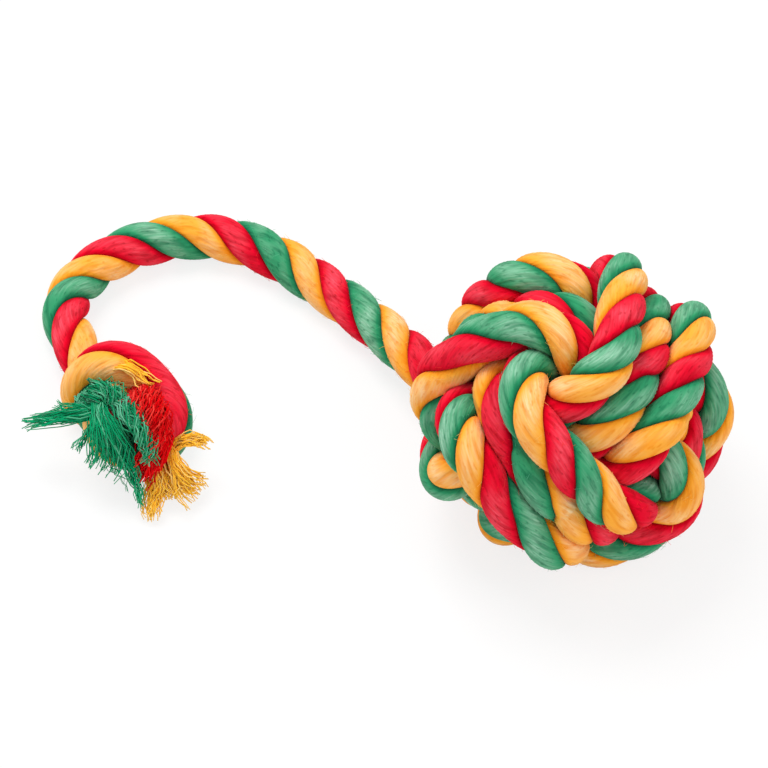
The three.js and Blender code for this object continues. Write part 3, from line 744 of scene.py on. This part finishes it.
@functools.lru_cache(maxsize=None)
def cotton(colour):
    """Laid cotton, dyed: matt yarns along the rope, with painted shade in the creases and a pale
    painted highlight on the crowns.
    """
    base, deep, pale = (dyed(colour), *map(linear, COTTON_SHADE_AND_HIGHLIGHT[colour]))
    material, tree, shader = new_material(f"Laid cotton, {colour}")
    place = node(tree, "ShaderNodeUVMap", {"uv_map": "UVMap"}).outputs["UV"]

    def pattern(length, width, detail):
        # The strand's UV is in millimetres. The yarns cross the strand at 45 degrees.
        turned_uv = node(tree, "ShaderNodeMapping", {"vector_type": "TEXTURE"},
                         {"Rotation": (0, 0, -math.pi / 4), "Scale": (length, width, 1)},
                         {"Vector": place}).outputs["Vector"]
        return node(tree, "ShaderNodeTexNoise", {"noise_dimensions": "2D"},
                    {"Scale": 1.0, "Detail": detail, "Roughness": 0.55},
                    {"Vector": turned_uv}).outputs["Fac"]

    yarns = pattern(9.0, 1.1, 1.0)     # yarns 1 mm wide
    fibres = pattern(7.0, 0.35, 2.0)   # fibres, drawn 0.35 mm wide so that they show
    flecks = pattern(2.6, 0.6, 1.0)    # short shadows where yarns part
    highlight_patches = pattern(14.0, 7.0, 1.0)     # patches of the painted highlight on the crowns
    crown = node(tree, "ShaderNodeAttribute", {"attribute_name": "crown"}).outputs["Fac"]
    # Painted highlight: pale only on the strand's crown, in patches, and most along the fibres.
    crown_highlight = maths(tree, "MULTIPLY", ranged(tree, crown, 0.55, 1.0),
                 ranged(tree, highlight_patches, 0.3, 0.7, 0.05, 0.75))
    pile = maths(tree, "MULTIPLY", crown_highlight, ranged(tree, fibres, 0.4, 0.72, 0.45, 1.0))
    # Painted shade: the deep colour towards the strand's edges, in the creases between strands.
    colours = mixed(tree, ranged(tree, crown, 0.0, 0.6), deep, base)
    colours = mixed(tree, pile, colours, pale)
    # Painted shade in the grooves between yarns, where the yarn bump is low.
    colours = mixed(tree, ranged(tree, yarns, 0.5, 0.3, 0.0, 0.45), colours, deep)
    colours = mixed(tree, ranged(tree, flecks, 0.6, 0.78, 0.0, 0.5), colours, deep)
    coarse = node(tree, "ShaderNodeBump", inputs={"Strength": 0.8, "Distance": 0.0006},
                  links={"Height": yarns})
    fine = node(tree, "ShaderNodeBump", inputs={"Strength": 0.5, "Distance": 0.0002},
                links={"Height": fibres, "Normal": coarse.outputs["Normal"]})
    tree.links.new(colours, shader.inputs["Base Color"])
    tree.links.new(fine.outputs["Normal"], shader.inputs["Normal"])
    finish_cotton(shader, pale)
    return material


def finish_cotton(shader, pile):
    """Cotton's sheen: matt, with pile that glows faintly where it is seen at a slant."""
    shader.inputs["Roughness"].default_value = 0.95
    shader.inputs["Specular IOR Level"].default_value = 0.06
    shader.inputs["Sheen Weight"].default_value = 0.25
    shader.inputs["Sheen Roughness"].default_value = 0.4
    shader.inputs["Sheen Tint"].default_value = pile


@functools.lru_cache(maxsize=None)
def frayed_cotton(colour):
    """Combed-out cotton yarns: every yarn its own tone, with painted shade at the root and brighter
    towards the tip.
    """
    base, deep, pale = (dyed(f"frayed_{colour}"), *map(linear, FRAYED_SHADE_AND_HIGHLIGHT[colour]))
    material, tree, shader = new_material(f"Frayed cotton, {colour}")
    tone = node(tree, "ShaderNodeAttribute", {"attribute_name": "tone"}).outputs["Fac"]
    crown = node(tree, "ShaderNodeAttribute", {"attribute_name": "crown"}).outputs["Fac"]
    # Painted shade: deep where the yarn's crown value is low, at its root.
    colours = mixed(tree, crown, deep, base)
    # Paler with a high tone: each yarn's own tone, and a painted highlight on curled yarns and
    # loose fibres.
    colours = mixed(tree, ranged(tree, tone, 0.6, 1.0, 0.0, 0.5), colours, pale)
    tree.links.new(colours, shader.inputs["Base Color"])
    finish_cotton(shader, pale)
    return material


def rag():
    """Cotton waste, undyed: the wad that the ball is wound on, dull and soft."""
    material, tree, shader = new_material("Cotton waste, undyed")
    place = node(tree, "ShaderNodeTexCoord").outputs["Object"]
    tufts = node(tree, "ShaderNodeTexNoise", inputs={"Scale": 700.0, "Detail": 3.0},
                 links={"Vector": place}).outputs["Fac"]
    bump = node(tree, "ShaderNodeBump", inputs={"Strength": 0.6, "Distance": 0.0006},
                links={"Height": tufts})
    colours = mixed(tree, tufts, linear("a89878"), linear("ddd0b4"))
    tree.links.new(colours, shader.inputs["Base Color"])
    tree.links.new(bump.outputs["Normal"], shader.inputs["Normal"])
    finish_cotton(shader, linear("f4ecdc"))
    return material


def white_paper():
    """White paper: a lit studio floor, mostly plain white to the camera, with a faint shadow."""
    material, tree, shader = new_material("White paper")
    shader.inputs["Base Color"].default_value = dyed("floor")
    shader.inputs["Roughness"].default_value = 0.9
    white = node(tree, "ShaderNodeEmission", inputs={"Color": (1, 1, 1, 1), "Strength": 1.0})
    rays = node(tree, "ShaderNodeLightPath").outputs
    seen = maths(tree, "MAXIMUM", rays["Is Camera Ray"], rays["Is Glossy Ray"])
    seen = maths(tree, "MAXIMUM", seen, rays["Is Transmission Ray"])
    blend = node(tree, "ShaderNodeMixShader")
    tree.links.new(maths(tree, "MULTIPLY", seen, FLOOR_WHITE), blend.inputs[0])
    tree.links.new(shader.outputs["BSDF"], blend.inputs[1])
    tree.links.new(white.outputs["Emission"], blend.inputs[2])
    tree.links.new(blend.outputs["Shader"], tree.nodes["Material Output"].inputs["Surface"])
    return material


def seeded(name, colour):
    return np.random.default_rng(len(name) + ord(colour[0]))


def lock_yarns(rng, count, half, curl, guide, rings=11):
    """Middle lines of one lock's yarns, and their half thickness at every ring."""
    route = smooth_route(guide, 8)
    sums = running(route[:, :3])
    wisps = count // WISP_YARNS + 2
    wisp = rng.integers(0, wisps, count)
    shorter = WISP_SHORTER * rng.random(wisps)[wisp]
    ends = sums[-1] * (1 - shorter - YARN_SHORTER * rng.random(count) ** 1.5)
    starts = sums[-1] * YARN_START * rng.random(count)
    share = np.linspace(0, 1, rings)
    places = starts[:, None] + (ends - starts)[:, None] * share
    x, y, z, wide, high = (np.interp(places, sums, route[:, k]) for k in range(5))
    line = np.stack([x, y, z], axis=2)
    tangent = unit(np.gradient(line, axis=1))
    side = unit(np.cross((0.0, 0.0, 1.0), tangent))
    lift = np.cross(tangent, side)
    radius, angle = np.sqrt(rng.random((2, count))), 2 * np.pi * rng.random((2, count))
    radius[1], angle[1] = radius[1][wisp], angle[1][wisp]
    together = np.array([1 - WISP_SHARE * share, WISP_SHARE * share])[:, None]
    a = ((radius * np.cos(angle))[..., None] * together).sum(axis=0)
    b = ((radius * np.sin(angle))[..., None] * together).sum(axis=0)
    phase = 2 * np.pi * rng.random((4, wisps, 1))[:, wisp] + 0.9 * rng.random((4, count, 1))

    def wave(slow, fast, first, second):
        return WAVE * share * (np.sin(slow * np.pi * share + first)
                               + 0.5 * np.sin(fast * np.pi * share + second))

    bend, sway = wave(*SIDE_WAVES, phase[0], phase[1]), wave(*LIFT_WAVES, phase[2], phase[3])
    turns = 2 * np.pi * (COIL_TURNS[0] + COIL_TURNS[1] * rng.random((count, 1))) * share
    coil = curl * np.minimum(1, 2 * share)
    line += (a * wide + bend + coil * np.cos(turns + phase[0]))[..., None] * side
    line += (b * high + sway + coil * np.sin(turns + phase[0]))[..., None] * lift
    thick = half * (0.8 + 0.4 * rng.random((count, 1))) * (1 - YARN_THINNER * share ** 2)
    line[..., 2] = np.maximum(line[..., 2], thick + YARN_LOW)
    return line, thick


def yarn_object(name, lines, thick, tones, crowns, material, sides=5):
    """One mesh of many yarns, each a capped tube along its own line."""
    count, rings = thick.shape
    bm = bmesh.new()
    bmesh.ops.create_cone(bm, cap_ends=True, segments=sides, radius1=1, radius2=1, depth=2)
    upright = [edge for edge in bm.edges if abs(edge.verts[0].co.z - edge.verts[1].co.z) > 1]
    bmesh.ops.subdivide_edges(bm, edges=upright, cuts=rings - 2, use_grid_fill=True)
    pattern = smoothed(bm, "yarn")
    at = np.array([vertex.co for vertex in pattern.vertices])
    ring = np.rint((at[:, 2] + 1) / 2 * (rings - 1)).astype(int)
    bm = bmesh.new()
    for _ in range(count):
        bm.from_mesh(pattern)
    mesh = smoothed(bm, name)
    bpy.data.meshes.remove(pattern)
    tangent = unit(np.gradient(lines, axis=1))
    normal = unit(np.cross(tangent, ASIDE))
    across = np.cross(tangent, normal)
    place = (lines[:, ring] + thick[:, ring, None] * (
        at[:, 0, None] * normal[:, ring] + at[:, 1, None] * across[:, ring]))
    mesh.vertices.foreach_set("co", (place * MM).ravel())
    for key, values in (("tone", np.repeat(tones, len(at))), ("crown", crowns[:, ring].ravel())):
        mesh.attributes.new(key, "FLOAT", "POINT").data.foreach_set("value", values)
    mesh.materials.append(material)
    return add_object(name, mesh)


def fuzz(name, colour, start, end, count, rings=4):
    """Loose fibres that stand off a strand's skin where nothing lies against it."""
    rng = seeded(name, colour)
    s = np.sort(rng.uniform(start, end, 3 * count))
    sides = BALL_SKIN[1]
    skin, _ = strand_skin(colour, s, sides)
    p, n, b, d, _ = rope().at(s)
    pick = rng.integers(WALL_POINTS + 2, WALL_POINTS + sides, len(s))
    root = skin[np.arange(len(s)), pick]
    out = root - p
    free = (np.linalg.norm(out, axis=1) > FREE_SHARE * d) & (root[:, 2] > FIBRE_LOW[0])
    root, out = root[free][:count], unit(out[free][:count])
    along = unit(np.cross(n, b)[free][:count])
    side = np.cross(out, along)
    count = len(root)
    reach = FIBRE_REACH[0] + FIBRE_REACH[1] * rng.random((count, 1)) ** 2
    lean = rng.uniform(-FIBRE_LEAN, FIBRE_LEAN, (count, 2, 1))
    share = np.linspace(0, 1, rings)[None, :, None]
    aside = lean[:, :1] * along[:, None] + lean[:, 1:] * side[:, None]
    # A fibre sets out nearly upright and bends over.
    way = out[:, None] * (0.9 - 0.5 * share) + aside * (0.4 + share)
    lines = root[:, None] - FIBRE_ROOT * out[:, None] + reach[:, None] * share * way
    lines[..., 2] = np.maximum(lines[..., 2], FIBRE_LOW[1])
    thick = np.full((count, rings), FIBRE_HALF) * (1 - FIBRE_THINNER * share[..., 0])
    # Loose fibres have a high tone: a painted highlight that makes them paler.
    return yarn_object(name, lines, thick, 0.7 + 0.3 * rng.random(count), np.ones((count, rings)),
                       frayed_cotton(colour), sides=3)


def frayed(name, colour):
    """All the locks of one strand's frayed end."""
    rng = seeded(name, colour)
    lines, thick = zip(*(lock_yarns(rng, count, half, curl, np.array(guide, float))
                         for _, count, half, curl, guide in FRAYS[colour]))
    lines, thick = np.vstack(lines) + frame_shift(), np.vstack(thick)
    # Curled yarns lie open and catch more light.
    curled = np.concatenate([np.full(count, curl > 1) for _, count, _, curl, _ in FRAYS[colour]])
    tones = rng.random(len(lines))
    tones = np.where(curled, 0.4 + 0.6 * tones, 0.9 * tones)
    # Painted shade: every yarn is deep in colour at its root and bright towards its tip.
    share = np.linspace(0, 1, lines.shape[1])
    crowns = np.clip(0.25 + 0.9 * share + 0.35 * (tones[:, None] - 0.5), 0, 1)
    return yarn_object(name, lines, thick, tones, crowns, frayed_cotton(colour))


def join(name, parts):
    """One object of several, each part with its own material."""
    bm = bmesh.new()
    made = bpy.data.meshes.new(name)
    for index, part in enumerate(parts):
        made.materials.append(part.data.materials[0])
        start = len(bm.faces)
        bm.from_mesh(part.data)
        bm.faces.ensure_lookup_table()
        for face in bm.faces[start:]:
            face.material_index = index
    bm.to_mesh(made)
    bm.free()
    for part in parts:
        old = part.data
        bpy.data.objects.remove(part)
        bpy.data.meshes.remove(old)
    return add_object(name, made)


class ROPETOY_OT_camera(bpy.types.Operator):
    """Aim the camera as the photograph was taken"""
    bl_idname = "rope_toy.camera"
    bl_label = "Camera"

    def execute(self, context):
        data = bpy.data.cameras.new("Camera")
        camera = add_object("Camera", data)
        target = Vector(ball_centre() * MM) + Vector(CAMERA_AIM)
        height = math.radians(CAMERA_HEIGHT)
        away = Vector((0.0, -math.cos(height), math.sin(height)))
        camera.location = target + away * CAMERA_DISTANCE
        camera.rotation_euler = away.to_track_quat("Z", "Y").to_euler()
        data.sensor_width = 36
        data.lens = CAMERA_LENS
        data.clip_end = 20
        context.scene.camera = camera
        return {"FINISHED"}


class ROPETOY_OT_tail(bpy.types.Operator):
    """Lay the free tail, three strands of the rope"""
    bl_idname = "rope_toy.tail"
    bl_label = "Tail"

    def execute(self, context):
        start, end = rope().marks[:2]
        parts = [strand(f"tail_{name}", name, start, end, *FREE_SKIN) for name in STRANDS]
        parts += [fuzz(f"tail_fuzz_{name}", name, start, end, TAIL_FIBRES) for name in STRANDS]
        tail = join("tail_strands", parts)
        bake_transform(tail)
        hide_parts("tail_rope")
        return {"FINISHED"}


class ROPETOY_OT_fist(bpy.types.Operator):
    """Wind the ball, three strands of the rope"""
    bl_idname = "rope_toy.fist"
    bl_label = "Ball"

    def execute(self, context):
        for name in STRANDS:
            made = strand(f"fist_{name}", name, 0, rope().marks[0], *BALL_SKIN)
            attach(made, "ball")
            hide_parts("fist_winding")
            pile = fuzz(f"fist_fuzz_{name}", name, 0, rope().marks[0], BALL_FIBRES)
            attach(pile, "ball")
        return {"FINISHED"}


class ROPETOY_OT_knot(bpy.types.Operator):
    """Tie the end knot, three strands of the rope"""
    bl_idname = "rope_toy.knot"
    bl_label = "End knot"

    def execute(self, context):
        start, end = rope().marks[1:]
        for name in STRANDS:
            made = strand(f"knot_{name}", name, start, end - FREE_SKIN[0], *FREE_SKIN)
            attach(made, "tail_end")
            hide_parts("stopper_knot")
            pile = fuzz(f"knot_fuzz_{name}", name, start, end - BARE_END, KNOT_FIBRES)
            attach(pile, "tail_end")
        return {"FINISHED"}


class ROPETOY_OT_frays(bpy.types.Operator):
    """Comb out the three strand ends past the knot"""
    bl_idname = "rope_toy.frays"
    bl_label = "Frayed ends"

    def execute(self, context):
        for colour in STRANDS:
            made = frayed(f"frayed_{colour}", colour)
            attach(made, "tail_end")
            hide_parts(f"tassel_{colour}")
        return {"FINISHED"}


class ROPETOY_OT_core(bpy.types.Operator):
    """Roll the wad of cotton waste inside the ball, its surface in folds"""
    bl_idname = "rope_toy.core"
    bl_label = "Core"

    def execute(self, context):
        centre = Vector(ball_centre() * MM)
        bm = bmesh.new()
        bmesh.ops.create_icosphere(bm, subdivisions=5, radius=CORE_D / 2 * MM)
        for vertex in bm.verts:
            fold = noise.fractal(vertex.co / FOLD_WIDTH, 1.0, 2.0, 3)
            vertex.co *= 1 + FOLD_HEIGHT * min(1, abs(fold)) / vertex.co.length
            vertex.co += centre
        mesh = smoothed(bm, "core_wad")
        mesh.materials.append(rag())
        wad = add_object("core_wad", mesh)
        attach(wad, "ball")
        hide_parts("core_ball")
        return {"FINISHED"}


class ROPETOY_OT_stage(bpy.types.Operator):
    """Light the toy on a plain white floor"""
    bl_idname = "rope_toy.stage"
    bl_label = "Stage"

    def execute(self, context):
        bm = bmesh.new()
        bmesh.ops.create_grid(bm, x_segments=1, y_segments=1, size=3)
        mesh = bpy.data.meshes.new("floor")
        bm.to_mesh(mesh)
        bm.free()
        mesh.materials.append(white_paper())
        floor = add_object("floor", mesh)
        world = bpy.data.worlds.new("World")
        context.scene.world = world
        world.use_nodes = True
        background = world.node_tree.nodes["Background"]
        background.inputs["Color"].default_value = (1, 1, 1, 1)
        background.inputs["Strength"].default_value = WORLD_LIGHT
        for name, where, size, power in LAMPS:
            data = bpy.data.lights.new(name, "AREA")
            data.size = size
            data.energy = power
            lamp = add_object(name, data)
            lamp.location = where
            lamp.rotation_euler = Vector(where).to_track_quat("Z", "Y").to_euler()
        context.scene.view_settings.view_transform = "Standard"
        return {"FINISHED"}


class ROPETOY_PT_panel(bpy.types.Panel):
    """Sizes, colours and pieces of the rope toy"""
    bl_idname = "ROPETOY_PT_panel"
    bl_label = "Rope dog toy"
    bl_space_type = "VIEW_3D"
    bl_region_type = "UI"
    bl_category = "Rope toy"

    def draw(self, context):
        for name in RopeToySettings.__annotations__:
            self.layout.prop(context.scene.rope_toy, name)
        for operator in OPERATORS:
            self.layout.operator(operator.bl_idname)


OPERATORS = (ROPETOY_OT_camera, ROPETOY_OT_tail, ROPETOY_OT_fist, ROPETOY_OT_knot, ROPETOY_OT_frays,
             ROPETOY_OT_core, ROPETOY_OT_stage)
CLASSES = (RopeToySettings, *OPERATORS, ROPETOY_PT_panel)


def register():
    for cls in CLASSES:
        bpy.utils.register_class(cls)
    bpy.types.Scene.rope_toy = bpy.props.PointerProperty(type=RopeToySettings)


def unregister():
    del bpy.types.Scene.rope_toy
    for cls in reversed(CLASSES):
        bpy.utils.unregister_class(cls)


def main():
    register()
    for operator in OPERATORS:
        group, name = operator.bl_idname.split(".")
        getattr(getattr(bpy.ops, group), name)()
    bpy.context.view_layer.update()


if __name__ == "__main__":
    main()
